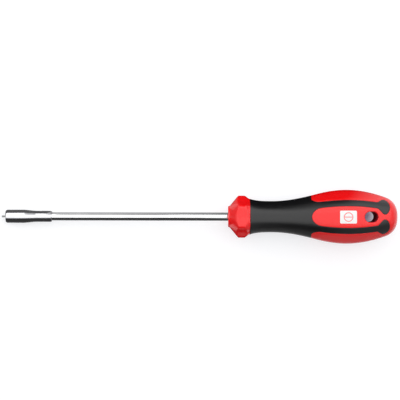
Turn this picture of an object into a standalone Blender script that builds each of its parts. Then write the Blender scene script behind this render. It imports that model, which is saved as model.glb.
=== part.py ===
"""Screw-holding screwdriver: a slotted blade split into a fixed half and a sliding wedge half.

The tool lies along X with the blade tip at the origin and the handle at +X. Y runs across the
blade's thickness and Z along the hang hole. A sprung sleeve near the tip carries the wedge half:
pulled back it draws the wedge out of the screw's slot, let go it drives the wedge home, so the two
halves jam in the slot and hold the screw.
"""

import math

import bmesh
import bpy
from mathutils import Vector

# Blade and shank, in metres
SHANK_DIAMETER = 0.0055
BLADE_LENGTH = 0.150
TANG_LENGTH = 0.058
TIP_THICKNESS = 0.0011
TIP_LAND = 0.0030
WEDGE_ANGLE = math.radians(1.2)
WEDGE_GAP = 0.00015
WING_LENGTH = 0.010
WING_WIDTH = 0.0085
WING_THICKNESS = 0.0033

# Holding sleeve and what is inside it
TIP_REACH = 0.0024
NOSE_RECESS = 0.0002
NOSE_LENGTH = 0.0032
SPRING_SPACE = 0.0118
SPRING_WIRE = 0.00045
SPRING_PLAY = 0.00015
SPRING_TURNS = 7
SPRING_END_GAP = 0.00015
WASHER_THICKNESS = 0.00055
STOP_RING_THICKNESS = 0.0007
STOP_RING_OPENING = math.radians(70)
GROOVE_DEPTH = 0.00035
SLEEVE_TRAVEL = 0.005
HEAD_WALL = 0.00092
TAPER_LEAD = 0.0054
TAPER_LENGTH = 0.0095
BARREL_LENGTH = 0.0097
BARREL_WALL = 0.00085
NOSE_ROUNDING = 0.0008
BARREL_CHAMFER = 0.0010
STEM_WIDTH = 0.0028
PIN_DIAMETER = 0.0014
PIN_SETBACK = 0.0022
PIN_DEPTH = 0.0010

# Handle
HANDLE_LENGTH = 0.112
LOBES = 6
COLLAR_LENGTH = 0.0154
COLLAR_FACE_RADIUS = 0.0070
COLLAR_RADIUS = 0.0142
COLLAR_NOSE = 0.0009
COLLAR_CONE = 0.0059
COLLAR_CREST = 0.0036
COLLAR_SCOOP_SHARE = 0.125
GRIP_FRONT_RADIUS = 0.01185
WAIST_RADIUS = 0.01035
WAIST_OFFSET = 0.029
RISE_SHARE_ALONG = 0.586
RISE_SHARE_UP = 0.607
RISE_STEEPNESS = 1.77
BULGE_RADIUS = 0.0179
BULGE_FROM_BUTT = 0.0335
TAIL_RADIUS = 0.0131
TAIL_FROM_BUTT = 0.008
TAIL_SLOPE = -0.36
BUTT_RADIUS = 0.0030
DOME_POWER = 2.7
FLAT_SHARE = 0.047
GRIP_THICKNESS = 0.0020
PANEL_OFFSET = 0.0548
PANEL_END_RADIUS = 0.0060
STRIPE_ANGLE = math.radians(31.5)
STRIPE_WIDTH = 0.0049
STRIPE_FLARE_FROM_BUTT = 0.0146
STRIPE_HEAD_FROM_BUTT = 0.0094
STRIPE_HEAD_LENGTH = 0.0036
STRIPE_HEAD_ANGLE = math.radians(26.6)
STRIPE_HEAD_LEAN = math.radians(2.2)
HANG_HOLE_FROM_BUTT = 0.0184
HANG_HOLE_WIDTH = 0.0070
HANG_HOLE_STRAIGHT = 0.0020

# Clearances
SLIDE_CLEARANCE = 0.0001
SEAT_CLEARANCE = 0.00008
MOULD_GAP = 0.00015
STOP_CLEARANCE = 0.0003

# Facets
TURNED_SIDES = 36
PANEL_COLUMNS = 4
SIDE_PANEL_COLUMNS = 12
CHANNEL_COLUMNS = 3
STRIPE_COLUMNS = 5
BRIDGE_COLUMNS = 2
SPRING_POINTS_PER_TURN = 9
WAIST_ROWS = 9

# Places along the tool, worked out from the sizes above
SHANK_RADIUS = SHANK_DIAMETER / 2
NOSE_FRONT = TIP_REACH + NOSE_RECESS
NOSE_REAR = NOSE_FRONT + NOSE_LENGTH
WASHER_FRONT = NOSE_REAR + SPRING_SPACE
STOP_RING_FRONT = WASHER_FRONT + WASHER_THICKNESS + SEAT_CLEARANCE
STOP_RING_REAR = STOP_RING_FRONT + STOP_RING_THICKNESS
CHAMBER_REAR = STOP_RING_REAR + STOP_CLEARANCE
CHAMBER_RADIUS = SHANK_RADIUS + 2 * SPRING_PLAY + SPRING_WIRE
TAPER_START = CHAMBER_REAR - TAPER_LEAD
BARREL_START = TAPER_START + TAPER_LENGTH
SLEEVE_REAR = BARREL_START + BARREL_LENGTH
HEAD_RADIUS = CHAMBER_RADIUS + HEAD_WALL
BARREL_BORE_RADIUS = SHANK_RADIUS + SLIDE_CLEARANCE
BARREL_RADIUS = BARREL_BORE_RADIUS + BARREL_WALL
BLADE_STEP = STOP_RING_FRONT - 2 * STOP_RING_THICKNESS
WEDGE_REAR = BLADE_STEP - SLEEVE_TRAVEL - STOP_CLEARANCE
PIN_X = BARREL_START + PIN_SETBACK
STEM_REAR = PIN_X + PIN_DIAMETER
KEYWAY_REAR = STEM_REAR + SLEEVE_TRAVEL + STOP_CLEARANCE
GROOVE_RADIUS = SHANK_RADIUS - GROOVE_DEPTH
STEM_TOP = math.sqrt(GROOVE_RADIUS**2 - (STEM_WIDTH / 2) ** 2) - SLIDE_CLEARANCE
HANDLE_FRONT = BLADE_LENGTH
HANDLE_REAR = HANDLE_FRONT + HANDLE_LENGTH
CONE_START = HANDLE_FRONT + COLLAR_NOSE
CREST_START = CONE_START + COLLAR_CONE
CREST_END = CREST_START + COLLAR_CREST
COLLAR_REAR = HANDLE_FRONT + COLLAR_LENGTH
WAIST_X = HANDLE_FRONT + WAIST_OFFSET
BULGE_X = HANDLE_REAR - BULGE_FROM_BUTT
TAIL_X = HANDLE_REAR - TAIL_FROM_BUTT
PANEL_TIP = HANDLE_FRONT + PANEL_OFFSET
STRIPE_FLARE_X = HANDLE_REAR - STRIPE_FLARE_FROM_BUTT
STRIPE_HEAD_X = HANDLE_REAR - STRIPE_HEAD_FROM_BUTT
HANG_HOLE_X = HANDLE_REAR - HANG_HOLE_FROM_BUTT
TANG_REAR = HANDLE_FRONT + TANG_LENGTH


# Building helpers


def make_material(name, colour, roughness, metallic):
    material = bpy.data.materials.new(name)
    material.use_nodes = True
    shader = material.node_tree.nodes["Principled BSDF"]
    shader.inputs["Base Color"].default_value = (*colour, 1)
    shader.inputs["Roughness"].default_value = roughness
    shader.inputs["Metallic"].default_value = metallic
    return material


def make_empty(name, place):
    empty = bpy.data.objects.new(name, None)
    empty.location = place
    bpy.context.scene.collection.objects.link(empty)
    return empty


def add_object(name, data, material, carrier):
    """Link data, which is drawn in tool coordinates, as a child of the empty that carries it."""
    piece = bpy.data.objects.new(name, data)
    bpy.context.scene.collection.objects.link(piece)
    data.transform(carrier.matrix_basis.inverted())
    data.materials.append(material)
    piece.parent = carrier
    return piece


def solid_from(bm, name, material, carrier, sharp_angle=math.radians(32)):
    bmesh.ops.remove_doubles(bm, verts=bm.verts, dist=1e-7)
    bmesh.ops.dissolve_degenerate(bm, edges=bm.edges, dist=1e-7)
    bmesh.ops.recalc_face_normals(bm, faces=bm.faces)
    mesh = bpy.data.meshes.new(name)
    bm.to_mesh(mesh)
    bm.free()
    mesh.shade_smooth()
    mesh.set_sharp_from_angle(angle=sharp_angle)
    return add_object(name, mesh, material, carrier)


def loft(name, rings, material, carrier, closed=False):
    """Solid through rings of equally many points: a tube if closed, otherwise with capped ends."""
    bm = bmesh.new()
    rows = [[bm.verts.new(point) for point in ring] for ring in rings]
    pairs = list(zip(rows, rows[1:]))
    if closed:
        pairs.append((rows[-1], rows[0]))
    for first, second in pairs:
        for i, corner in enumerate(first):
            j = (i + 1) % len(first)
            bm.faces.new((corner, first[j], second[j], second[i]))
    if not closed:
        bm.faces.new(rows[0])
        bm.faces.new(rows[-1])
    return solid_from(bm, name, material, carrier)


def circle(x, radius, sides=TURNED_SIDES):
    turns = [2 * math.pi * i / sides for i in range(sides)]
    return [(x, radius * math.sin(turn), radius * math.cos(turn)) for turn in turns]


def turned_ring(name, profile, material, carrier):
    """Tube turned about the tool's axis from a closed outline of (x, radius) points."""
    return loft(name, [circle(x, radius) for x, radius in profile], material, carrier, closed=True)


def cut(piece, cutter):
    """Subtract cutter from piece, and keep cutter as a hidden helper."""
    cutter.hide_render = True
    cutter.display_type = "WIRE"
    modifier = piece.modifiers.new("cut_" + cutter.name, "BOOLEAN")
    modifier.operation = "DIFFERENCE"
    modifier.solver = "EXACT"
    modifier.object = cutter


def hermite(t, start, end, start_slope, end_slope):
    """Cubic from start to end for t from 0 to 1, with slopes per unit of t."""
    return (
        (2 * t**3 - 3 * t**2 + 1) * start
        + (3 * t**2 - 2 * t**3) * end
        + (t**3 - 2 * t**2 + t) * start_slope
        + (t**3 - t**2) * end_slope
    )


def clamp(value, low, high):
    return max(low, min(high, value))


def smooth(t):
    t = clamp(t, 0.0, 1.0)
    return t * t * (3 - 2 * t)


def spaced(start, end, count):
    return [start + (end - start) * i / (count - 1) for i in range(count)]


# Shank and wedge blade


def wedge_plane(x):
    """Height of the inclined plane that parts the two blade halves."""
    return -x * math.tan(WEDGE_ANGLE)


def blade_half_thickness(x):
    """The blade's flats: a parallel land at the tip, then a hollow-ground flare out to the bar."""
    land = TIP_THICKNESS / 2
    flare = clamp((x - TIP_LAND) / (WEDGE_REAR - TIP_LAND), 0.0, 1.0)
    return land + (SHANK_RADIUS - land) * flare**1.6


def bar_ring(x, radius, low=-math.inf, high=math.inf, half_width=math.inf):
    """Round section cut by planes at low and high across Y and at half_width across Z."""
    ring = []
    for i in range(TURNED_SIDES):
        turn = 2 * math.pi * i / TURNED_SIDES
        y = clamp(radius * math.cos(turn), low, high)
        z = clamp(radius * math.sin(turn), -half_width, half_width)
        ring.append((x, y, z))
    return ring


def tang_rings(grow):
    """The bar inside the handle, with a stretch forged into wings that stop it turning."""
    wing_rear = TANG_REAR - WING_LENGTH
    wing_front = wing_rear - WING_LENGTH
    rings = []
    for x in spaced(wing_front, wing_rear, 7):
        share = math.sin(math.pi * (x - wing_front) / WING_LENGTH)
        half_width = SHANK_RADIUS + (WING_WIDTH / 2 - SHANK_RADIUS) * share + grow
        half_thickness = SHANK_RADIUS + (WING_THICKNESS / 2 - SHANK_RADIUS) * share + grow
        rings.append([(x, y * half_width, z * half_thickness) for _, y, z in bar_ring(x, 1.0)])
    rings.append(bar_ring(TANG_REAR + grow, SHANK_RADIUS + grow))
    return rings


def make_shank(material, carrier):
    fixed_half = WEDGE_GAP / 2
    rings = []
    for x in [0.0, *spaced(TIP_LAND, WEDGE_REAR, 6), BLADE_STEP]:
        half = blade_half_thickness(x)
        rings.append(bar_ring(x, SHANK_RADIUS, low=-half, high=wedge_plane(x) - fixed_half))
    for x, radius in (
        (BLADE_STEP, SHANK_RADIUS),
        (STOP_RING_FRONT - SEAT_CLEARANCE, SHANK_RADIUS),
        (STOP_RING_FRONT - SEAT_CLEARANCE, GROOVE_RADIUS),
        (STOP_RING_REAR + SEAT_CLEARANCE, GROOVE_RADIUS),
        (STOP_RING_REAR + SEAT_CLEARANCE, SHANK_RADIUS),
    ):
        rings.append(bar_ring(x, radius))
    shank = loft("shank", rings + tang_rings(0.0), material, carrier)
    cut(shank, make_keyway_cutter(material, carrier))
    return shank


def make_keyway_cutter(material, carrier):
    """Slot along the bar's +Y side in which the wedge's stem slides."""
    half_width = STEM_WIDTH / 2 + SLIDE_CLEARANCE
    rings = []
    for x in (BLADE_STEP - WEDGE_GAP, KEYWAY_REAR):
        floor = wedge_plane(x) - WEDGE_GAP
        rings.append(
            [
                (x, floor, -half_width),
                (x, floor, half_width),
                (x, SHANK_DIAMETER, half_width),
                (x, SHANK_DIAMETER, -half_width),
            ]
        )
    return loft("keyway_cutter", rings, material, carrier)


def make_wedge_blade(material, carrier):
    """The blade's sliding half with its stem, which the drive pin ties to the sleeve."""
    rings = []
    for x in [0.0, *spaced(TIP_LAND, WEDGE_REAR, 6)]:
        floor = wedge_plane(x) + WEDGE_GAP / 2
        half = max(blade_half_thickness(x), floor + TIP_THICKNESS / 4)
        rings.append(bar_ring(x, SHANK_RADIUS, low=floor, high=half))
    for x in (WEDGE_REAR, STEM_REAR):
        floor = wedge_plane(x) + 1.5 * WEDGE_GAP
        rings.append(
            bar_ring(x, SHANK_RADIUS, low=floor, high=STEM_TOP, half_width=STEM_WIDTH / 2)
        )
    wedge = loft("wedge_blade", rings, material, carrier)
    cut(wedge, make_pin("stem_hole_cutter", SEAT_CLEARANCE, material, carrier))
    return wedge


# Holding sleeve


def make_pin(name, grow, material, carrier):
    """Radial pin from the wedge's stem out through the sleeve's barrel, or the hole for it."""
    radius = PIN_DIAMETER / 2 + grow
    sides = TURNED_SIDES // 2
    reach = BARREL_RADIUS * math.cos(math.pi / TURNED_SIDES) - SEAT_CLEARANCE
    if grow:
        reach = BARREL_RADIUS + PIN_DIAMETER
    rings = []
    for y in (STEM_TOP - PIN_DEPTH - grow, reach):
        turns = [2 * math.pi * i / sides for i in range(sides)]
        rings.append(
            [(PIN_X + radius * math.cos(t), y, radius * math.sin(t)) for t in turns]
        )
    return loft(name, rings, material, carrier)


def sleeve_outline():
    """Closed outline of the sleeve's wall as (x, radius), from the front lip round to the bore."""
    rounding = min(NOSE_ROUNDING, 0.9 * HEAD_WALL)
    outline = []
    for turn in spaced(0, math.pi / 2, 4):
        radius = HEAD_RADIUS - rounding * (1 - math.sin(turn))
        outline.append((TIP_REACH + rounding * (1 - math.cos(turn)), radius))
    for x in spaced(TAPER_START, BARREL_START, 8):
        share = smooth((x - TAPER_START) / TAPER_LENGTH)
        outline.append((x, HEAD_RADIUS + (BARREL_RADIUS - HEAD_RADIUS) * share))
    chamfer_foot = BARREL_RADIUS - 0.6 * BARREL_WALL
    outline.append((SLEEVE_REAR - BARREL_CHAMFER, BARREL_RADIUS))
    outline.append((SLEEVE_REAR - BARREL_CHAMFER / 3, BARREL_RADIUS - 0.25 * BARREL_WALL))
    outline.append((SLEEVE_REAR, chamfer_foot))
    outline.append((SLEEVE_REAR, BARREL_BORE_RADIUS))
    outline.append((CHAMBER_REAR, BARREL_BORE_RADIUS))
    outline.append((CHAMBER_REAR, CHAMBER_RADIUS))
    outline.append((TIP_REACH, CHAMBER_RADIUS))
    return outline


def make_sleeve(material, carrier):
    sleeve = turned_ring("holding_sleeve", sleeve_outline(), material, carrier)
    cut(sleeve, make_pin("sleeve_hole_cutter", SEAT_CLEARANCE, material, carrier))
    return sleeve


def make_nose_ring(material, carrier):
    """Pressed-in front ring that guides the blade and takes the spring's thrust."""
    outer = CHAMBER_RADIUS - SEAT_CLEARANCE
    inner = SHANK_RADIUS + 2 * SLIDE_CLEARANCE
    lead = (outer - inner) / 2
    outline = [
        (NOSE_FRONT, inner + lead),
        (NOSE_FRONT, outer),
        (NOSE_REAR, outer),
        (NOSE_REAR, inner),
        (NOSE_FRONT + lead, inner),
    ]
    return turned_ring("nose_ring", outline, material, carrier)


def make_spring(material, carrier):
    """Coil spring between the nose ring and the thrust washer, as one unbroken wire."""
    mean_radius = SHANK_RADIUS + SPRING_PLAY + SPRING_WIRE / 2
    front = NOSE_REAR + SPRING_END_GAP + SPRING_WIRE / 2
    rear = WASHER_FRONT - SPRING_END_GAP - SPRING_WIRE / 2
    count = SPRING_TURNS * SPRING_POINTS_PER_TURN + 1
    points = []
    for i, x in enumerate(spaced(front, rear, count)):
        turn = 2 * math.pi * i / SPRING_POINTS_PER_TURN
        points.append(Vector((x, mean_radius * math.sin(turn), mean_radius * math.cos(turn))))
    curve = bpy.data.curves.new("return_spring", "CURVE")
    curve.dimensions = "3D"
    curve.bevel_depth = SPRING_WIRE / 2
    curve.bevel_resolution = 1
    curve.use_fill_caps = True
    spline = curve.splines.new("POLY")
    spline.points.add(len(points) - 1)
    for spline_point, point in zip(spline.points, points):
        spline_point.co = (*point, 1)
    apart = SPRING_POINTS_PER_TURN // 2
    least = min(
        (a - b).length for i, a in enumerate(points) for b in points[i + apart :]
    )
    print(f"return_spring: least gap between its turns {(least - SPRING_WIRE) * 1000:.2f} mm")
    return add_object("return_spring", curve, material, carrier)


def make_thrust_washer(material, carrier):
    inner = SHANK_RADIUS + SEAT_CLEARANCE
    outer = CHAMBER_RADIUS - SLIDE_CLEARANCE
    rear = WASHER_FRONT + WASHER_THICKNESS
    outline = [(WASHER_FRONT, inner), (WASHER_FRONT, outer), (rear, outer), (rear, inner)]
    return turned_ring("thrust_washer", outline, material, carrier)


def make_stop_ring(material, carrier):
    """Open snap ring in the shank's groove, with its opening over the keyway."""
    inner = GROOVE_RADIUS + SEAT_CLEARANCE
    outer = CHAMBER_RADIUS - SLIDE_CLEARANCE
    start = math.pi / 2 + STOP_RING_OPENING / 2
    rings = []
    for turn in spaced(start, start + 2 * math.pi - STOP_RING_OPENING, TURNED_SIDES):
        corners = (
            (STOP_RING_FRONT, inner),
            (STOP_RING_FRONT, outer),
            (STOP_RING_REAR, outer),
            (STOP_RING_REAR, inner),
        )
        rings.append([(x, r * math.sin(turn), r * math.cos(turn)) for x, r in corners])
    return loft("stop_ring", rings, material, carrier)


# Handle


def corner_radius(x):
    """The handle's radius at the corners of its rounded hexagon, which make its silhouette."""
    if x <= CREST_END:
        share = clamp((x - CONE_START) / COLLAR_CONE, 0.0, 1.0)
        return COLLAR_FACE_RADIUS + (COLLAR_RADIUS - COLLAR_FACE_RADIUS) * share
    if x <= COLLAR_REAR:
        share = smooth((x - CREST_END) / (COLLAR_REAR - CREST_END))
        return COLLAR_RADIUS + (GRIP_FRONT_RADIUS - COLLAR_RADIUS) * share
    front_slope = 3 * (WAIST_RADIUS - GRIP_FRONT_RADIUS) / (WAIST_X - COLLAR_REAR)
    swell = BULGE_RADIUS - WAIST_RADIUS
    swell_length = BULGE_X - WAIST_X
    rise_x = WAIST_X + RISE_SHARE_ALONG * swell_length
    rise_radius = WAIST_RADIUS + RISE_SHARE_UP * swell
    knots = (
        (COLLAR_REAR, GRIP_FRONT_RADIUS, front_slope),
        (WAIST_X, WAIST_RADIUS, 0.0),
        (rise_x, rise_radius, RISE_STEEPNESS * swell / swell_length),
        (BULGE_X, BULGE_RADIUS, 0.0),
        (TAIL_X, TAIL_RADIUS, TAIL_SLOPE),
    )
    for (start, r0, slope0), (end, r1, slope1) in zip(knots, knots[1:]):
        if x <= end:
            span = end - start
            return hermite((x - start) / span, r0, r1, slope0 * span, slope1 * span)
    along = clamp((x - TAIL_X) / TAIL_FROM_BUTT, 0.0, 1.0)
    tapered = TAIL_RADIUS + TAIL_SLOPE * (x - TAIL_X) - BUTT_RADIUS
    return BUTT_RADIUS + tapered * math.sqrt(1 - along**DOME_POWER)


def flattening(x):
    """Share of the radius that is taken off between the corners: scoops, flats, then none."""
    crest = (CREST_START + CREST_END) / 2
    if x < crest:
        return COLLAR_SCOOP_SHARE * smooth((x - CONE_START) / (crest - CONE_START))
    if x < COLLAR_REAR:
        share = smooth((x - crest) / (COLLAR_REAR - crest))
        return COLLAR_SCOOP_SHARE + (FLAT_SHARE - COLLAR_SCOOP_SHARE) * share
    return FLAT_SHARE * (1 - smooth((x - STRIPE_FLARE_X) / STRIPE_FLARE_FROM_BUTT))


def handle_point(x, turn, inset=0.0):
    """Point on the handle's skin, or inset below it; turn is 0 at the middle of the top panel."""
    share = (1 + math.cos(LOBES * turn)) / 2
    radius = corner_radius(x) * (1 - flattening(x) * share) - inset
    return (x, radius * math.sin(turn), radius * math.cos(turn))


def waist_stations():
    """Stations that the core and the grip share from the collar back to the tips of the panels."""
    return spaced(COLLAR_REAR, PANEL_TIP, WAIST_ROWS)


def stripe_edges(x):
    """Angles of a stripe's two edges, which run side by side until they flare out into its head."""
    even = STRIPE_WIDTH / 2 / corner_radius(x)
    flare = smooth((x - STRIPE_FLARE_X) / (STRIPE_HEAD_X - STRIPE_FLARE_X))
    half = even + (STRIPE_HEAD_ANGLE - even) * flare
    middle = STRIPE_ANGLE + STRIPE_HEAD_LEAN * flare
    return middle - half, middle + half


def stripe_stations():
    """(x, inner, outer) down a stripe: between the panels' round corners, straight, round head."""
    stations = []
    first_turn = math.acos(1 - MOULD_GAP / PANEL_END_RADIUS)
    for turn in spaced(first_turn, math.pi / 2, 5):
        x = PANEL_TIP + PANEL_END_RADIUS * (1 - math.cos(turn))
        inner, outer = stripe_edges(x)
        share = math.sin(turn)
        stations.append((x, inner * share, outer * share + 2 * STRIPE_ANGLE * (1 - share)))
    straight = spaced(PANEL_TIP + PANEL_END_RADIUS, STRIPE_FLARE_X, 7)
    flare = spaced(STRIPE_FLARE_X, STRIPE_HEAD_X, 6)
    for x in straight[1:] + flare[1:]:
        stations.append((x, *stripe_edges(x)))
    middle = STRIPE_ANGLE + STRIPE_HEAD_LEAN
    for turn in spaced(0, math.radians(68), 5)[1:]:
        x = STRIPE_HEAD_X + STRIPE_HEAD_LENGTH * math.sin(turn)
        half = STRIPE_HEAD_ANGLE * math.cos(turn)
        stations.append((x, middle - half, middle + half))
    return stations


def core_ring(x, inner, outer, panels_raised, stripes_raised):
    """Ring of the core: top panel, channel, side panel and channel, and the same again below."""
    ring = []
    for turned in (0, math.pi):
        for start, end, columns, raised in (
            (-inner, inner, PANEL_COLUMNS, panels_raised),
            (inner, outer, CHANNEL_COLUMNS, stripes_raised),
            (outer, math.pi - outer, SIDE_PANEL_COLUMNS, panels_raised),
            (math.pi - outer, math.pi - inner, CHANNEL_COLUMNS, stripes_raised),
        ):
            inset = 0.0 if raised else GRIP_THICKNESS + MOULD_GAP
            for turn in spaced(start, end, columns + 1):
                ring.append(handle_point(x, turned + turn, inset))
    return ring


def channel_edges(x, inner, outer):
    """A channel's edges, opened from the stripe's own edges by the moulding gap."""
    gap = MOULD_GAP / corner_radius(x)
    return inner - gap, outer + gap


def make_handle_core(material, carrier):
    """Hard core: front collar, sunk waist, four raised panels and the domed rear cap."""
    stations = stripe_stations()
    column = math.pi / (PANEL_COLUMNS + SIDE_PANEL_COLUMNS + 2 * CHANNEL_COLUMNS)
    even = (column * PANEL_COLUMNS / 2, column * (PANEL_COLUMNS / 2 + CHANNEL_COLUMNS))
    rings = [core_ring(HANDLE_FRONT, *even, True, True)]
    for x in [*spaced(CONE_START, CREST_START, 5), *spaced(CREST_END, COLLAR_REAR, 5)]:
        rings.append(core_ring(x, *even, True, True))
    panel_front = stations[0][0]
    front = channel_edges(*stations[0])
    for x in [*waist_stations(), panel_front]:
        share = (x - COLLAR_REAR) / (panel_front - COLLAR_REAR)
        edges = [a + (b - a) * share for a, b in zip(even, front)]
        rings.append(core_ring(x, *edges, False, False))
    for x, inner, outer in stations:
        rings.append(core_ring(x, *channel_edges(x, inner, outer), True, False))
    head_x, inner, outer = stations[-1]
    rear_x = head_x + MOULD_GAP
    rear = channel_edges(rear_x, inner, outer)
    rings.append(core_ring(rear_x, *rear, True, False))
    for x in dome_stations(rear_x):
        rings.append(core_ring(x, *rear, True, True))
    core = loft("handle_core", rings, material, carrier)
    cut(core, make_tang_cutter(material, carrier))
    cut(core, make_hang_hole_cutter(material, carrier))
    return core


def dome_stations(rear):
    """Stations down the domed cap, closer together towards the butt."""
    turns = spaced(0, math.pi / 2, 6)
    return [rear + (HANDLE_REAR - rear) * math.sin(turn) for turn in turns]


def make_tang_cutter(material, carrier):
    front = [bar_ring(HANDLE_FRONT - SHANK_RADIUS, SHANK_RADIUS + MOULD_GAP)]
    return loft("tang_cutter", front + tang_rings(MOULD_GAP), material, carrier)


def make_hang_hole_cutter(material, carrier):
    """Oval hole through the top and bottom panels."""
    radius = HANG_HOLE_WIDTH / 2
    rings = []
    for z in (-BULGE_RADIUS, BULGE_RADIUS):
        ring = []
        for end in (1, -1):
            for turn in spaced(-math.pi / 2, math.pi / 2, TURNED_SIDES // 3):
                x = HANG_HOLE_X + end * (HANG_HOLE_STRAIGHT / 2 + radius * math.cos(turn))
                ring.append((x, end * radius * math.sin(turn), z))
        rings.append(ring)
    return loft("hang_hole_cutter", rings, material, carrier)


def grip_rows():
    """(x, turns) of each row in a quarter of the grip, from the collar back to a stripe's head."""
    corner = 2 * STRIPE_ANGLE
    bridge = spaced(corner, math.pi / 2, BRIDGE_COLUMNS + 1)[1:]
    whole = spaced(0, corner, STRIPE_COLUMNS + 1) + bridge
    waist = [(x, whole) for x in [COLLAR_REAR + MOULD_GAP, *waist_stations()[1:]]]
    stripe = []
    for x, inner, outer in stripe_stations():
        stripe.append((x, spaced(inner, outer, STRIPE_COLUMNS + 1)))
    return waist, stripe


def make_soft_grip(material, carrier):
    """Soft sleeve over the waist that runs back in four stripes between the panels."""
    waist, stripe = grip_rows()
    bm = bmesh.new()
    for turned in (0, math.pi):
        for side in (1, -1):
            skins = []
            for inset in (0.0, GRIP_THICKNESS):
                skin = []
                for x, turns in waist + stripe:
                    points = [handle_point(x, turned + side * turn, inset) for turn in turns]
                    skin.append([bm.verts.new(point) for point in points])
                skins.append(skin)
            close_quarter(bm, skins, len(waist) - 1)
    return solid_from(bm, "soft_grip", material, carrier)


def close_quarter(bm, skins, last_whole_row):
    """Faces of a quarter of the grip: both skins, the ends, and the sides where panels part it."""
    outer, inner = skins
    last = len(outer) - 1
    for i in range(last):
        for j in range(len(outer[i + 1]) - 1):
            for skin in skins:
                bm.faces.new((skin[i][j], skin[i][j + 1], skin[i + 1][j + 1], skin[i + 1][j]))
        if i >= last_whole_row:
            for j in (0, STRIPE_COLUMNS):
                bm.faces.new((outer[i][j], outer[i + 1][j], inner[i + 1][j], inner[i][j]))
    for row, first in ((0, 0), (last_whole_row, STRIPE_COLUMNS), (last, 0)):
        for j in range(first, len(outer[row]) - 1):
            bm.faces.new((outer[row][j], outer[row][j + 1], inner[row][j + 1], inner[row][j]))


def main():
    for old in list(bpy.data.objects):
        bpy.data.objects.remove(old)
    chrome = make_material("polished_chrome", (0.78, 0.78, 0.79), 0.12, 1.0)
    gunmetal = make_material("dark_nickel", (0.30, 0.30, 0.32), 0.16, 1.0)
    spring_steel = make_material("spring_steel", (0.45, 0.45, 0.46), 0.30, 1.0)
    red = make_material("red_plastic", (0.80, 0.02, 0.03), 0.32, 0.0)
    black = make_material("black_soft_plastic", (0.02, 0.02, 0.022), 0.55, 0.0)

    driver = make_empty("driver", (0, 0, 0))
    holder = make_empty("holder", (TIP_REACH, 0, 0))

    make_shank(chrome, driver)
    make_stop_ring(spring_steel, driver)
    make_thrust_washer(spring_steel, driver)
    make_spring(spring_steel, driver)
    make_handle_core(red, driver)
    make_soft_grip(black, driver)

    make_sleeve(gunmetal, holder)
    make_nose_ring(gunmetal, holder)
    make_wedge_blade(chrome, holder)
    make_pin("drive_pin", 0.0, spring_steel, holder)


main()
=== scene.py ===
"""Looks of the screw-holding screwdriver: fine meshes, finishes, studio and camera.

Everything is in metres in the part's own frame: the blade tip is at the origin, the tool lies
along +X, Y runs across the blade's thickness and +Z points at the camera.
"""

import math

import bmesh
import bpy
import numpy as np
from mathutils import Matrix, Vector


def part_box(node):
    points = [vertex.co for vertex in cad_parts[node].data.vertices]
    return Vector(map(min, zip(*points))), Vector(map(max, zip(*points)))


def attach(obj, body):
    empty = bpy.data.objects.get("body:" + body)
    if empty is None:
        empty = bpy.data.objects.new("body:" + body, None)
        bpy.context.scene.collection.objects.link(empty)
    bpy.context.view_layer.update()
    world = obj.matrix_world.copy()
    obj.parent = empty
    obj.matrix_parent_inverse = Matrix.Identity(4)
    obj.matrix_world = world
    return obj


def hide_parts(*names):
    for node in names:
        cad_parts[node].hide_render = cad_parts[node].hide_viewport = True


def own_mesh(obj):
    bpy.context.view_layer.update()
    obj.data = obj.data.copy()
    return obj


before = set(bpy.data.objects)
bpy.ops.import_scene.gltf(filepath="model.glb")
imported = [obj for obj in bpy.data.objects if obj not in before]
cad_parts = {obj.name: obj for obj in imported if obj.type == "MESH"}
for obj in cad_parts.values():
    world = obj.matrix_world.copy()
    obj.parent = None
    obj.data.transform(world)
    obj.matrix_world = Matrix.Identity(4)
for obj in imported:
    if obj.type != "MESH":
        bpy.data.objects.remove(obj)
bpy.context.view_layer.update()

# Blade and shank, as in the part's source
SHANK_RADIUS = 0.00275
TANG_LENGTH = 0.058
TIP_THICKNESS = 0.0011
TIP_LAND = 0.0030
WEDGE_ANGLE = math.radians(1.2)
WEDGE_GAP = 0.00015
BLADE_FLARE_POWER = 1.6
WING_LENGTH = 0.010
WING_WIDTH = 0.0085
WING_THICKNESS = 0.0033

# Holding sleeve, as in the part's source
SLEEVE_TRAVEL = 0.005
STOP_CLEARANCE = 0.0003
SEAT_CLEARANCE = 0.00008
SLIDE_CLEARANCE = 0.0001
CHAMBER_RADIUS = 0.0035
HEAD_RADIUS = 0.00442
BARREL_RADIUS = 0.0037
BARREL_LENGTH = 0.0097
TAPER_LENGTH = 0.0095
NOSE_ROUNDING = 0.0008
BARREL_CHAMFER = 0.0010
BARREL_DROP_SHARE = 0.6
STOP_RING_THICKNESS = 0.0007
GROOVE_DEPTH = 0.00035
STEM_WIDTH = 0.0028
PIN_DIAMETER = 0.0014
PIN_DEPTH = 0.0010
SPRING_WIRE = 0.00045
SPRING_PLAY = 0.00015
SPRING_TURNS = 7
SPRING_END_GAP = 0.00015

# Handle, as in the part's source
LOBES = 6
COLLAR_LENGTH = 0.0154
COLLAR_FACE_RADIUS = 0.0070
COLLAR_RADIUS = 0.0142
COLLAR_NOSE = 0.0009
COLLAR_CONE = 0.0059
COLLAR_CREST = 0.0036
COLLAR_SCOOP_SHARE = 0.125
GRIP_FRONT_RADIUS = 0.01185
WAIST_RADIUS = 0.01035
WAIST_OFFSET = 0.029
RISE_SHARE_ALONG = 0.586
RISE_SHARE_UP = 0.607
RISE_STEEPNESS = 1.77
BULGE_RADIUS = 0.0179
BULGE_FROM_BUTT = 0.0335
TAIL_RADIUS = 0.0131
TAIL_FROM_BUTT = 0.008
TAIL_SLOPE = -0.36
BUTT_RADIUS = 0.0030
DOME_POWER = 2.7
FLAT_SHARE = 0.047
GRIP_THICKNESS = 0.0020
PANEL_OFFSET = 0.0548
PANEL_END_RADIUS = 0.0060
STRIPE_ANGLE = math.radians(31.5)
STRIPE_WIDTH = 0.0049
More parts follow.
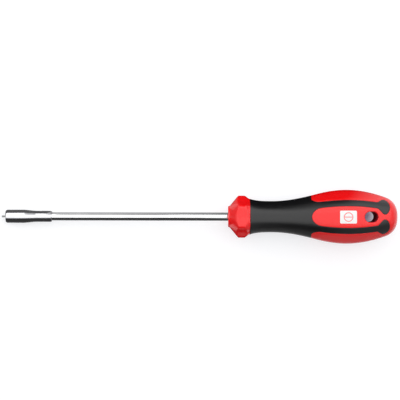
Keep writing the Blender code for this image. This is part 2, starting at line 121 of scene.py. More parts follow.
STRIPE_FLARE_FROM_BUTT = 0.0146
STRIPE_HEAD_FROM_BUTT = 0.0094
STRIPE_HEAD_LENGTH = 0.0036
STRIPE_HEAD_ANGLE = math.radians(26.6)
STRIPE_HEAD_LEAN = math.radians(2.2)
HANG_HOLE_FROM_BUTT = 0.0184
HANG_HOLE_WIDTH = 0.0070
HANG_HOLE_STRAIGHT = 0.0020

# Finer detail than the solids have
TIP_CHAMFER = 0.00008
NOSE_ROUNDING_LENGTH = 0.0014
RIM_CHAMFER = 0.00005
RIM_FACE_SHARE = 0.985
EDGE_ROUNDING = 0.00025
EDGE_STEPS = (0.0, 0.00005, 0.00012, 0.00020, 0.00030)
FULL_GRADE_WIDTH = 0.0012
TOP_COLUMNS = 5
SIDE_COLUMNS = 11
STRIPE_COLUMNS = 5
BRIDGE_COLUMNS = 8
CHANNEL_COLUMNS = 4
SKIN_GAP = 0.00005
COLLAR_SOFTENING = 0.0004
COLLAR_SOFTENING_SAMPLES = 7
COLLAR_TRIM = 0.0010
COLLAR_HOLLOW = 0.0003
FACET_SOFTENING = 0.0012
FACET_CORNER_SOFTENING = 0.0006
HOLE_ROUNDING = 0.0006
TURNED_SIDES = 96
PIN_HOLE_SIDES = 32
SPRING_STEPS_PER_TURN = 28
SPRING_WIRE_SIDES = 10
MERGE_DISTANCE = 1e-7
SHARP_ANGLE = math.radians(30)

# Rows along the fine meshes
COLLAR_ROWS = 48
COLLAR_FLANK_ROWS = 20
SUNK_WAIST_ROWS = 12
DOME_ROWS = 22
PANEL_END_ROWS = 18
PANEL_END_FIRST_TURN = math.radians(5)
STRIPE_ROWS = 30
STRIPE_FLARE_ROWS = 20
STRIPE_HEAD_ROWS = 18
STRIPE_HEAD_LAST_TURN = math.radians(85)
GRIP_WAIST_ROWS = 30
HOLE_END_COLUMNS = 24
HOLE_RIM_ROWS = 6
HOLE_RIM_FIRST_TURN = math.radians(15)
PANEL_HEIGHT_PASSES = 4
WING_ROWS = 17
BLADE_ROWS = 16
NOSE_ROWS = 9
TAPER_ROWS = 28
BARREL_END_ROWS = 8

# Print on the top panel
PRINT_X = 0.2283
PRINT_LENGTH = 0.0110
PRINT_WIDTH = 0.0084
PRINT_CORNER = 0.0008
PRINT_WHITE = (0.90, 0.90, 0.90, 1)
MARK_RADIUS = 0.0028
MARK_LINE = 0.0006
MARK_PALENESS = 0.25

# Studio and camera
CAMERA_HEIGHT = 0.98
FRAME_WIDTH = 0.2657
FRAME_MIDDLE_X = 0.1313
FRAME_MIDDLE_Y = 0.01103
CAMERA_ROLL = math.radians(0.07)
SENSOR_WIDTH = 36.0
SOFTBOX_ENDS = (-1.30, 2.20)
SOFTBOX_EDGES = ((-0.56, 1.20), (0.09, 0.94), (1.30, 0.45))
SOFTBOX_RADIANCES = (0.78, 1.12)
WORLD_FILL = 0.37
FLOOR_REACH = 4.0
FLOOR_CONTACT_SAMPLES = 60
FLOOR_ROUGHNESS = 0.9
FLOOR_GREY = (0.45, 0.45, 0.45, 1)
FLOOR_GLOW = (0.64, 0.645, 0.66, 1)
# Painted shadow on the floor: its glow under the tool, how far it looks for the tool, and the
# occlusion range over which it fades
FLOOR_SHADE_GLOW = (0.07, 0.055, 0.11, 1)
FLOOR_SHADE_REACH = 0.04
FLOOR_SHADE_RANGE = (0.268, 0.325)
CARDS_START = -0.5
CARDS_END = 0.8
COLLAR_CARDS_START = 0.152
GRIP_CARDS_START = 0.167
PANEL_CARDS_START = 0.205
CARD_DISTANCE = 0.25
SLEEVE_CARD_DISTANCE = 0.06
COLLAR_CARD_X = (0.1506, 0.1508)
COLLAR_CARD_Y = (0.0058, 0.016)
COLLAR_CARD_Z = (0.002, 0.0078)
CARD_LIFT = 0.0002
CARD_FOOT = -0.05

# Sockets of a Mix node that blends colours, which share their names with its other sockets
MIX_SHARE = 0
MIX_FIRST = 6
MIX_SECOND = 7
MIX_RESULT = 2

# Places along the tool
TIP_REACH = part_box("holding_sleeve")[0].x
SLEEVE_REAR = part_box("holding_sleeve")[1].x
BARREL_START = SLEEVE_REAR - BARREL_LENGTH
TAPER_START = BARREL_START - TAPER_LENGTH
NOSE_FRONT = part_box("nose_ring")[0].x
NOSE_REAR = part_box("nose_ring")[1].x
WASHER_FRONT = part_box("thrust_washer")[0].x
STOP_RING_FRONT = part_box("stop_ring")[0].x
STOP_RING_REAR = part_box("stop_ring")[1].x
CHAMBER_REAR = STOP_RING_REAR + STOP_CLEARANCE
BLADE_STEP = STOP_RING_FRONT - 2 * STOP_RING_THICKNESS
WEDGE_REAR = BLADE_STEP - SLEEVE_TRAVEL - STOP_CLEARANCE
PIN_X = sum(corner.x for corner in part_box("drive_pin")) / 2
STEM_REAR = PIN_X + PIN_DIAMETER
STEM_LIFT = 1.5 * WEDGE_GAP
KEYWAY_REAR = STEM_REAR + SLEEVE_TRAVEL + STOP_CLEARANCE
GROOVE_RADIUS = SHANK_RADIUS - GROOVE_DEPTH
STEM_TOP = math.sqrt(GROOVE_RADIUS**2 - (STEM_WIDTH / 2) ** 2) - SLIDE_CLEARANCE
HANDLE_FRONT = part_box("handle_core")[0].x
HANDLE_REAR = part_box("handle_core")[1].x
TANG_REAR = HANDLE_FRONT + TANG_LENGTH
CONE_START = HANDLE_FRONT + COLLAR_NOSE
CREST_START = CONE_START + COLLAR_CONE
CREST_END = CREST_START + COLLAR_CREST
COLLAR_REAR = HANDLE_FRONT + COLLAR_LENGTH - COLLAR_TRIM
WAIST_X = HANDLE_FRONT + WAIST_OFFSET
BULGE_X = HANDLE_REAR - BULGE_FROM_BUTT
TAIL_X = HANDLE_REAR - TAIL_FROM_BUTT
PANEL_TIP = HANDLE_FRONT + PANEL_OFFSET
STRIPE_FLARE_X = HANDLE_REAR - STRIPE_FLARE_FROM_BUTT
STRIPE_HEAD_X = HANDLE_REAR - STRIPE_HEAD_FROM_BUTT
HANG_HOLE_X = HANDLE_REAR - HANG_HOLE_FROM_BUTT


# Small helpers


def clamp(value, low, high):
    return max(low, min(high, value))


def smooth(t):
    t = clamp(t, 0.0, 1.0)
    return t * t * (3 - 2 * t)


def spaced(start, end, count):
    return [start + (end - start) * i / (count - 1) for i in range(count)]


def hermite(t, start, end, start_slope, end_slope):
    """Cubic from start to end for t from 0 to 1, with slopes per unit of t."""
    return (
        (2 * t**3 - 3 * t**2 + 1) * start
        + (3 * t**2 - 2 * t**3) * end
        + (t**3 - 2 * t**2 + t) * start_slope
        + (t**3 - t**2) * end_slope
    )


def finish_mesh(bm, mesh):
    """Clean what was built, keep it in mesh and shade it smooth with its real edges kept sharp."""
    bmesh.ops.remove_doubles(bm, verts=bm.verts, dist=MERGE_DISTANCE)
    bmesh.ops.dissolve_degenerate(bm, edges=bm.edges, dist=MERGE_DISTANCE)
    bmesh.ops.recalc_face_normals(bm, faces=bm.faces)
    bm.to_mesh(mesh)
    bm.free()
    mesh.shade_smooth()
    mesh.set_sharp_from_angle(angle=SHARP_ANGLE)


def object_from(bm, name, material):
    """Link what was built as a piece of its own."""
    mesh = bpy.data.meshes.new(name)
    finish_mesh(bm, mesh)
    mesh.materials.append(material)
    piece = bpy.data.objects.new(name, mesh)
    bpy.context.scene.collection.objects.link(piece)
    return piece


def loft(name, rings, material, closed=False):
    """Solid through rings of equally many points: a tube if closed, otherwise with capped ends."""
    bm = bmesh.new()
    rows = [[bm.verts.new(point) for point in ring] for ring in rings]
    pairs = list(zip(rows, rows[1:]))
    if closed:
        pairs.append((rows[-1], rows[0]))
    for first, second in pairs:
        for i, corner in enumerate(first):
            j = (i + 1) % len(first)
            bm.faces.new((corner, first[j], second[j], second[i]))
    if not closed:
        bm.faces.new(rows[0])
        bm.faces.new(rows[-1])
    return object_from(bm, name, material)


def circle(x, radius):
    turns = [2 * math.pi * i / TURNED_SIDES for i in range(TURNED_SIDES)]
    return [(x, radius * math.sin(turn), radius * math.cos(turn)) for turn in turns]


def cut_away(piece, cutter):
    """Subtract cutter from piece for good, then drop the cutter."""
    modifier = piece.modifiers.new("cut", "BOOLEAN")
    modifier.operation = "DIFFERENCE"
    modifier.solver = "EXACT"
    modifier.object = cutter
    bm = bmesh.new()
    bm.from_object(piece, bpy.context.evaluated_depsgraph_get())
    piece.modifiers.clear()
    finish_mesh(bm, piece.data)
    bpy.data.objects.remove(cutter)


def stand_for(piece, node, body):
    """The piece rides on body and is shown in place of the CAD node."""
    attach(piece, body)
    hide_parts(node)


# Handle skin


def sharp_radius(x):
    """The handle's radius at the corners of its rounded hexagon, which make its silhouette."""
    if x <= CREST_END:
        share = clamp((x - CONE_START) / COLLAR_CONE, 0.0, 1.0)
        return COLLAR_FACE_RADIUS + (COLLAR_RADIUS - COLLAR_FACE_RADIUS) * share
    if x <= COLLAR_REAR:
        share = smooth((x - CREST_END) / (COLLAR_REAR - CREST_END))
        return COLLAR_RADIUS + (GRIP_FRONT_RADIUS - COLLAR_RADIUS) * share
    front_slope = 3 * (WAIST_RADIUS - GRIP_FRONT_RADIUS) / (WAIST_X - COLLAR_REAR)
    swell = BULGE_RADIUS - WAIST_RADIUS
    swell_length = BULGE_X - WAIST_X
    rise_x = WAIST_X + RISE_SHARE_ALONG * swell_length
    rise_radius = WAIST_RADIUS + RISE_SHARE_UP * swell
    knots = (
        (COLLAR_REAR, GRIP_FRONT_RADIUS, front_slope),
        (WAIST_X, WAIST_RADIUS, 0.0),
        (rise_x, rise_radius, RISE_STEEPNESS * swell / swell_length),
        (BULGE_X, BULGE_RADIUS, 0.0),
        (TAIL_X, TAIL_RADIUS, TAIL_SLOPE),
    )
    for (start, r0, slope0), (end, r1, slope1) in zip(knots, knots[1:]):
        if x <= end:
            span = end - start
            return hermite((x - start) / span, r0, r1, slope0 * span, slope1 * span)
    along = clamp((x - TAIL_X) / TAIL_FROM_BUTT, 0.0, 1.0)
    tapered = TAIL_RADIUS + TAIL_SLOPE * (x - TAIL_X) - BUTT_RADIUS
    return BUTT_RADIUS + tapered * math.sqrt(1 - along**DOME_POWER)


def corner_radius(x):
    """As sharp_radius, with the collar's creases rounded off."""
    if x > COLLAR_REAR:
        return sharp_radius(x)
    end = min(x + COLLAR_SOFTENING, COLLAR_REAR)
    around = spaced(x - COLLAR_SOFTENING, end, COLLAR_SOFTENING_SAMPLES)
    return sum(sharp_radius(near) for near in around) / len(around)


def flattening(x):
    """Share of the radius that is taken off between the corners of the grip, none at either end."""
    if x < COLLAR_REAR:
        return FLAT_SHARE * smooth((x - CREST_END) / (COLLAR_REAR - CREST_END))
    return FLAT_SHARE * (1 - smooth((x - STRIPE_FLARE_X) / STRIPE_FLARE_FROM_BUTT))


def facet_radius(turn):
    """Radius of the six slightly hollow facets that are cut across the collar, as on a nut."""
    side = 2 * math.pi / LOBES
    from_middle = (turn + side / 2) % side - side / 2
    plane_radius = COLLAR_RADIUS * (1 - COLLAR_SCOOP_SHARE) / math.cos(from_middle)
    return plane_radius - COLLAR_HOLLOW * (1 + math.cos(LOBES * turn)) / 2


def skin_radius(x, turn):
    """Radius of the handle's skin; turn is 0 at the middle of the top panel."""
    turned = corner_radius(x) * (1 - flattening(x) * (1 + math.cos(LOBES * turn)) / 2)
    if x > COLLAR_REAR:
        return turned
    gap = facet_radius(turn) - turned
    inwards = (1 + math.cos(LOBES * turn)) / 2
    softening = FACET_CORNER_SOFTENING + (FACET_SOFTENING - FACET_CORNER_SOFTENING) * inwards
    return turned + (gap - math.hypot(gap, softening)) / 2


def skin_ring(x, turns, insets):
    ring = []
    for turn, inset in zip(turns, insets):
        radius = skin_radius(x, turn) - inset
        ring.append((x, radius * math.sin(turn), radius * math.cos(turn)))
    return ring


def stripe_edges(x):
    """Angles of a stripe's two edges, which run side by side until they flare out into its head."""
    even = STRIPE_WIDTH / 2 / corner_radius(x)
    flare = smooth((x - STRIPE_FLARE_X) / (STRIPE_HEAD_X - STRIPE_FLARE_X))
    half = even + (STRIPE_HEAD_ANGLE - even) * flare
    middle = STRIPE_ANGLE + STRIPE_HEAD_LEAN * flare
    return middle - half, middle + half


def stripe_stations():
    """(x, inner, outer) down a stripe: between the panels' round corners, straight, round head."""
    stations = []
    for turn in spaced(PANEL_END_FIRST_TURN, math.pi / 2, PANEL_END_ROWS):
        x = PANEL_TIP + PANEL_END_RADIUS * (1 - math.cos(turn))
        inner, outer = stripe_edges(x)
        share = math.sin(turn)
        stations.append((x, inner * share, outer * share + 2 * STRIPE_ANGLE * (1 - share)))
    straight = spaced(PANEL_TIP + PANEL_END_RADIUS, STRIPE_FLARE_X, STRIPE_ROWS)
    flare = spaced(STRIPE_FLARE_X, STRIPE_HEAD_X, STRIPE_FLARE_ROWS)
    for x in straight[1:] + flare[1:]:
        stations.append((x, *stripe_edges(x)))
    middle = STRIPE_ANGLE + STRIPE_HEAD_LEAN
    for turn in spaced(0, STRIPE_HEAD_LAST_TURN, STRIPE_HEAD_ROWS)[1:]:
        x = STRIPE_HEAD_X + STRIPE_HEAD_LENGTH * math.sin(turn)
        half = STRIPE_HEAD_ANGLE * math.cos(turn)
        stations.append((x, middle - half, middle + half))
    return stations


def seam_outline():
    """A quarter's seam rolled out flat: round a stripe, then along the side panel's front edge."""
    stations = [(PANEL_TIP, 0.0, 2 * STRIPE_ANGLE), *stripe_stations()]
    seam = [(x, inner) for x, inner, _ in stations]
    seam.append((STRIPE_HEAD_X + STRIPE_HEAD_LENGTH, STRIPE_ANGLE + STRIPE_HEAD_LEAN))
    seam += [(x, outer) for x, _, outer in reversed(stations)]
    seam.append((PANEL_TIP, math.pi / 2))
    return np.array([(x, turn * corner_radius(x)) for x, turn in seam])


def edge_insets(x, turns, seam):
    """How far the skin is rounded down beside the seams between the hard and the soft plastic."""
    arcs = []
    for turn in turns:
        folded = abs((turn + math.pi / 2) % math.pi - math.pi / 2)
        arcs.append((x, folded * corner_radius(x)))
    starts = seam[:-1]
    runs = seam[1:] - starts
    offsets = np.array(arcs)[:, None] - starts
    shares = np.clip((offsets * runs).sum(2) / (runs * runs).sum(1), 0, 1)
    distances = np.linalg.norm(offsets - shares[..., None] * runs, axis=2).min(1)
    distances = np.minimum(distances, abs(x - COLLAR_REAR))
    depths = np.clip(EDGE_ROUNDING - distances, 0, None)
    return EDGE_ROUNDING - np.sqrt(EDGE_ROUNDING**2 - depths**2)


def graded(width, middle_columns, grade):
    """Distances from an edge to the middle, even at grade 0 and closer to the edge at grade 1."""
    even = spaced(0.0, width, len(EDGE_STEPS) + middle_columns)
    scale = min(1.0, width / FULL_GRADE_WIDTH)
    close = [step * scale for step in EDGE_STEPS]
    close += spaced(close[-1], width, middle_columns + 1)[1:]
    return [a + (b - a) * grade for a, b in zip(even, close)]


def core_ring(x, inner, outer, panels_up, channels_up, seam, grade=1.0):
    """Ring of the core: top panel, channel, side panel and channel, and the same again below."""
    radius = corner_radius(x)
    top = [inner - step / radius for step in graded(inner * radius, TOP_COLUMNS, grade)]
    across = (math.pi / 2 - outer) * radius
    side = [outer + step / radius for step in graded(across, SIDE_COLUMNS, grade)]
    quarter = [(turn, panels_up) for turn in reversed(top)]
    quarter += [(turn, channels_up) for turn in spaced(inner, outer, CHANNEL_COLUMNS + 1)]
    quarter += [(turn, panels_up) for turn in side]
    half = quarter + [(math.pi - turn, up) for turn, up in reversed(quarter[1:-1])]
    whole = half + [(math.pi + turn, up) for turn, up in half]
    turns = [turn for turn, _ in whole]
    raised = [up for _, up in whole]
    insets = np.where(raised, edge_insets(x, turns, seam), GRIP_THICKNESS + SKIN_GAP)
    return skin_ring(x, turns, insets)


def tang_ring(x, turns, grow):
    """Section of the bar inside the handle, which widens into wings before its rear end."""
    wing_front = TANG_REAR - 2 * WING_LENGTH
    share = math.sin(math.pi * clamp((x - wing_front) / WING_LENGTH, 0.0, 1.0))
    half_width = SHANK_RADIUS + (WING_WIDTH / 2 - SHANK_RADIUS) * share + grow
    half_thickness = SHANK_RADIUS + (WING_THICKNESS / 2 - SHANK_RADIUS) * share + grow
    return [(x, half_width * math.sin(turn), half_thickness * math.cos(turn)) for turn in turns]


def tang_places():
    wing_rear = TANG_REAR - WING_LENGTH
    return spaced(wing_rear - WING_LENGTH, wing_rear, WING_ROWS)


def channel_edges(x, inner, outer):
    """A channel's edges, opened from the stripe's own edges by the gap between the skins."""
    gap = SKIN_GAP / corner_radius(x)
    return inner - gap, outer + gap


def make_handle_core(material):
    """Hard red core: collar, sunk waist, four raised panels and the domed rear cap."""
    seam = seam_outline()
    stations = stripe_stations()
    edge_columns = len(EDGE_STEPS) - 1
    channel_start = edge_columns + TOP_COLUMNS
    channel_end = channel_start + CHANNEL_COLUMNS
    column = math.pi / 2 / (channel_end + edge_columns + SIDE_COLUMNS)
    even = (column * channel_start, column * channel_end)
    rings = []
    collar = spaced(HANDLE_FRONT + RIM_CHAMFER, CREST_END, COLLAR_ROWS)
    collar += spaced(CREST_END, COLLAR_REAR - EDGE_STEPS[-1], COLLAR_FLANK_ROWS)[1:]
    collar += [COLLAR_REAR - step for step in EDGE_STEPS[-2::-1]]
    for x in collar:
        rings.append(core_ring(x, *even, True, True, seam, grade=0.0))
    panel_front = stations[0][0] + SKIN_GAP
    front = channel_edges(*stations[0])
    for x in spaced(COLLAR_REAR, panel_front, SUNK_WAIST_ROWS):
        share = (x - COLLAR_REAR) / (panel_front - COLLAR_REAR)
        edges = [a + (b - a) * share for a, b in zip(even, front)]
        rings.append(core_ring(x, *edges, False, False, seam))
    for x, inner, outer in stations:
        x = max(x, panel_front)
        rings.append(core_ring(x, *channel_edges(x, inner, outer), True, False, seam))
    head_x, inner, outer = stations[-1]
    rear_x = head_x + SKIN_GAP
    rear = channel_edges(rear_x, inner, outer)
    rings.append(core_ring(rear_x, *rear, True, False, seam))
    for turn in spaced(0, math.pi / 2, DOME_ROWS):
        x = rear_x + (HANDLE_REAR - rear_x) * math.sin(turn)
        rings.append(core_ring(x, *rear, True, True, seam))

    turns = [math.atan2(y, z) for _, y, z in rings[0]]
    share = RIM_FACE_SHARE
    front_face = [(HANDLE_FRONT, y * share, z * share) for _, y, z in rings[0]]
    bore = [tang_ring(TANG_REAR + SKIN_GAP, turns, SKIN_GAP)]
    bore += [tang_ring(x, turns, SKIN_GAP) for x in reversed(tang_places())]
    bore.append(tang_ring(HANDLE_FRONT, turns, SKIN_GAP))
    core = loft("handle_red_core", bore + [front_face] + rings, material)
    cut_away(core, make_hang_hole_cutter(material))
    return core


def panel_height(x, y):
    """Height of the top panel's skin over the point (x, y), closed in on step by step."""
    z = corner_radius(x)
    for _ in range(PANEL_HEIGHT_PASSES):
        z = math.sqrt(skin_radius(x, math.atan2(y, z)) ** 2 - y**2)
    return z


def hole_ring(side, grow, depth):
    """The hang hole's oval, grown outwards, at a depth below the top or bottom panel's skin."""
    radius = HANG_HOLE_WIDTH / 2 + grow
    ring = []
    for end in (1, -1):
        for turn in spaced(-math.pi / 2, math.pi / 2, HOLE_END_COLUMNS):
            x = HANG_HOLE_X + end * (HANG_HOLE_STRAIGHT / 2 + radius * math.cos(turn))
            y = end * radius * math.sin(turn)
            ring.append((x, y, side * (panel_height(x, y) - depth)))
    return ring


def make_hang_hole_cutter(material):
    """Oval through-hole whose rims are rounded where they meet the panels."""
    above_skin = (1.5 * HOLE_ROUNDING, -HOLE_ROUNDING / 3)
    profile = [above_skin]
    for turn in spaced(HOLE_RIM_FIRST_TURN, math.pi / 2, HOLE_RIM_ROWS):
        grow = HOLE_ROUNDING * (1 - math.sin(turn))
        profile.append((grow, HOLE_ROUNDING * (1 - math.cos(turn))))
    rings = [hole_ring(-1, grow, depth) for grow, depth in profile]
    rings += [hole_ring(1, grow, depth) for grow, depth in reversed(profile)]
    below = [(x, y, -BULGE_RADIUS) for x, y, _ in rings[0]]
    above = [(x, y, BULGE_RADIUS) for x, y, _ in rings[-1]]
    return loft("hang_hole_cutter", [below, *rings, above], material)


def stripe_turns(x, inner, outer, grade=1.0):
    """Turns across a stripe, closer together beside its edges at grade 1."""
    radius = corner_radius(x)
    steps = graded((outer - inner) / 2 * radius, STRIPE_COLUMNS, grade)
    near = [inner + step / radius for step in steps]
    return near + [inner + outer - turn for turn in near[-2::-1]]


def grip_rows():
    """(x, turns) of each row in a quarter of the grip, over the waist and then down a stripe."""
    front = COLLAR_REAR + SKIN_GAP
    places = [front + step for step in EDGE_STEPS]
    places += spaced(places[-1], PANEL_TIP - EDGE_STEPS[-1], GRIP_WAIST_ROWS)[1:]
    places += [PANEL_TIP - step for step in EDGE_STEPS[-2::-1]]
    bridge = spaced(2 * STRIPE_ANGLE, math.pi / 2, BRIDGE_COLUMNS + 1)[1:]
    waist = []
    for x in places:
        grade = smooth((x - front) / (PANEL_TIP - front))
        waist.append((x, stripe_turns(x, 0.0, 2 * STRIPE_ANGLE, grade) + bridge))
    return waist, [(station[0], stripe_turns(*station)) for station in stripe_stations()]


def make_soft_grip(material):
    """Soft black sleeve over the waist that runs back in four stripes between the panels."""
    seam = seam_outline()
    waist, stripe = grip_rows()
    bm = bmesh.new()
    for turned in (0, math.pi):
        for side in (1, -1):
            outer = []
            inner = []
            for x, quarter in waist + stripe:
                turns = [turned + side * turn for turn in quarter]
                for skin, insets in (
                    (outer, edge_insets(x, turns, seam)),
                    (inner, [GRIP_THICKNESS] * len(turns)),
                ):
                    skin.append([bm.verts.new(point) for point in skin_ring(x, turns, insets)])
            close_quarter(bm, outer, inner, len(waist) - 1)
    return object_from(bm, "handle_soft_grip", material)


def close_quarter(bm, outer, inner, last_whole_row):
    """Faces of a quarter of the grip: both skins, the ends, and the sides where panels part it."""
    last_row = len(outer) - 1
    stripe_edge = len(outer[last_row]) - 1
    for i in range(last_row):
        for j in range(len(outer[i + 1]) - 1):
            for skin in (outer, inner):
                bm.faces.new((skin[i][j], skin[i][j + 1], skin[i + 1][j + 1], skin[i + 1][j]))
        if i >= last_whole_row:
            for j in (0, stripe_edge):
                bm.faces.new((outer[i][j], outer[i + 1][j], inner[i + 1][j], inner[i][j]))
    for row, first in ((0, 0), (last_whole_row, stripe_edge), (last_row, 0)):
        for j in range(first, len(outer[row]) - 1):
            bm.faces.new((outer[row][j], outer[row][j + 1], inner[row][j + 1], inner[row][j]))


# Shank, wedge blade and sleeve


def wedge_plane(x):
    """Height of the inclined plane that parts the two blade halves."""
    return -x * math.tan(WEDGE_ANGLE)


def blade_half_thickness(x):
    """The blade's flats: a parallel land at the tip, then a hollow-ground flare out to the bar."""
    land = TIP_THICKNESS / 2
    flare = clamp((x - TIP_LAND) / (WEDGE_REAR - TIP_LAND), 0.0, 1.0)
    return land + (SHANK_RADIUS - land) * flare**BLADE_FLARE_POWER


def bar_ring(x, radius, low=-math.inf, high=math.inf, half_width=math.inf):
    """Round section cut by planes at low and high across Y and at half_width across Z."""
    ring = []
    for i in range(TURNED_SIDES):
        turn = 2 * math.pi * i / TURNED_SIDES
        y = clamp(radius * math.cos(turn), low, high)
        reach = min(half_width, math.sqrt(radius**2 - y**2))
        z = clamp(radius * math.sin(turn), -reach, reach)
        ring.append((x, y, z))
    return ring


def blade_places():
    """Stations down the blade's ground flats, with a small chamfer at the very tip."""
    return [(0.0, TIP_CHAMFER), (TIP_CHAMFER, 0.0)] + [
        (x, 0.0) for x in spaced(TIP_LAND, WEDGE_REAR, BLADE_ROWS)
    ]


def make_shank(material):
    """Round bar with the blade's fixed half at the front and the winged tang at the rear."""
    rings = []
    for x, chamfer in [*blade_places(), (BLADE_STEP, 0.0)]:
        half = blade_half_thickness(x) - chamfer
        high = wedge_plane(x) - WEDGE_GAP / 2
        rings.append(bar_ring(x, SHANK_RADIUS - chamfer, low=-half, high=high))
    for x, radius in (
        (BLADE_STEP, SHANK_RADIUS),
        (STOP_RING_FRONT - SEAT_CLEARANCE, SHANK_RADIUS),
        (STOP_RING_FRONT - SEAT_CLEARANCE, GROOVE_RADIUS),
        (STOP_RING_REAR + SEAT_CLEARANCE, GROOVE_RADIUS),
        (STOP_RING_REAR + SEAT_CLEARANCE, SHANK_RADIUS),
    ):
        rings.append(bar_ring(x, radius))
    turns = [math.pi / 2 - 2 * math.pi * i / TURNED_SIDES for i in range(TURNED_SIDES)]
    rings += [tang_ring(x, turns, 0.0) for x in [*tang_places(), TANG_REAR]]
    shank = loft("shank_bar", rings, material)
    half_width = STEM_WIDTH / 2 + SLIDE_CLEARANCE
    keyway = []
    for x in (BLADE_STEP - WEDGE_GAP, KEYWAY_REAR):
        floor = wedge_plane(x) - WEDGE_GAP
        top = 2 * SHANK_RADIUS
        corners = ((floor, -1), (floor, 1), (top, 1), (top, -1))
        keyway.append([(x, y, side * half_width) for y, side in corners])
    cut_away(shank, loft("keyway_cutter", keyway, material))
    return shank


def make_wedge_blade(material):
    """The blade's sliding half with its stem, which the drive pin ties to the sleeve."""
    rings = []
    for x, chamfer in blade_places():
        floor = wedge_plane(x) + WEDGE_GAP / 2
        half = max(blade_half_thickness(x), floor + TIP_THICKNESS / 4) - chamfer
        rings.append(bar_ring(x, SHANK_RADIUS - chamfer, low=floor, high=half))
    for x in (WEDGE_REAR, STEM_REAR):
        floor = wedge_plane(x) + STEM_LIFT
        rings.append(
            bar_ring(x, SHANK_RADIUS, low=floor, high=STEM_TOP, half_width=STEM_WIDTH / 2)
        )
    wedge = loft("wedge_blade_half", rings, material)
    cut_away(wedge, make_pin_hole_cutter(material))
    return wedge


def make_pin_hole_cutter(material):
    radius = PIN_DIAMETER / 2 + SEAT_CLEARANCE
    turns = spaced(0, 2 * math.pi, PIN_HOLE_SIDES + 1)[:-1]
    rings = []
    for y in (STEM_TOP - PIN_DEPTH - SEAT_CLEARANCE, 2 * BARREL_RADIUS):
        rings.append([(PIN_X + radius * math.cos(t), y, radius * math.sin(t)) for t in turns])
    return loft("pin_hole_cutter", rings, material)


def sleeve_outline():
    """Closed outline of the sleeve's wall as (x, radius), from the front lip round to the bore."""
    outline = []
    for turn in spaced(0, math.pi / 2, NOSE_ROWS):
        radius = HEAD_RADIUS - NOSE_ROUNDING * (1 - math.sin(turn))
        outline.append((TIP_REACH + NOSE_ROUNDING_LENGTH * (1 - math.cos(turn)), radius))
    for x in spaced(TAPER_START, BARREL_START, TAPER_ROWS):
        share = smooth((x - TAPER_START) / TAPER_LENGTH)
        outline.append((x, HEAD_RADIUS + (BARREL_RADIUS - HEAD_RADIUS) * share))
    bore = SHANK_RADIUS + SLIDE_CLEARANCE
    drop = BARREL_DROP_SHARE * (BARREL_RADIUS - bore)
    for turn in spaced(0, math.pi / 2, BARREL_END_ROWS):
        x = SLEEVE_REAR - BARREL_CHAMFER * (1 - math.sin(turn))
        outline.append((x, BARREL_RADIUS - drop * (1 - math.cos(turn))))
    outline += [(SLEEVE_REAR, bore), (CHAMBER_REAR, bore)]
    outline += [(CHAMBER_REAR, CHAMBER_RADIUS), (TIP_REACH, CHAMBER_RADIUS)]
    return outline


def make_sleeve(material):
    rings = [circle(x, radius) for x, radius in sleeve_outline()]
    sleeve = loft("sleeve_shell", rings, material, closed=True)
    cut_away(sleeve, make_pin_hole_cutter(material))
    return sleeve


def make_nose_ring(material):
    """Pressed-in front ring that guides the blade."""
    outer = CHAMBER_RADIUS - SEAT_CLEARANCE
    inner = SHANK_RADIUS + 2 * SLIDE_CLEARANCE
    lead = (outer - inner) / 2
    outline = [
        (NOSE_FRONT, inner + lead),
        (NOSE_FRONT, outer),
        (NOSE_REAR, outer),
        (NOSE_REAR, inner),
        (NOSE_FRONT + lead, inner),
        (NOSE_FRONT + lead / 3, inner + lead / 3),
    ]
    rings = [circle(x, radius) for x, radius in outline]
    return loft("nose_guide_ring", rings, material, closed=True)


def make_spring(material):
    """Coil of round wire from the nose ring back to the thrust washer, built at its full length;
    the real coil shortens towards the washer as the sleeve is drawn back.
    """
    mean_radius = SHANK_RADIUS + SPRING_PLAY + SPRING_WIRE / 2
    front = NOSE_REAR + SPRING_END_GAP + SPRING_WIRE / 2
    rear = WASHER_FRONT - SPRING_END_GAP - SPRING_WIRE / 2
    rings = []
    for i, x in enumerate(spaced(front, rear, SPRING_TURNS * SPRING_STEPS_PER_TURN + 1)):
        turn = 2 * math.pi * i / SPRING_STEPS_PER_TURN
        ring = []
        for side in spaced(0, 2 * math.pi, SPRING_WIRE_SIDES + 1)[:-1]:
            radius = mean_radius + SPRING_WIRE / 2 * math.cos(side)
            along = x + SPRING_WIRE / 2 * math.sin(side)
            ring.append((along, radius * math.sin(turn), radius * math.cos(turn)))
        rings.append(ring)
    return loft("return_coil", rings, material)


# Materials


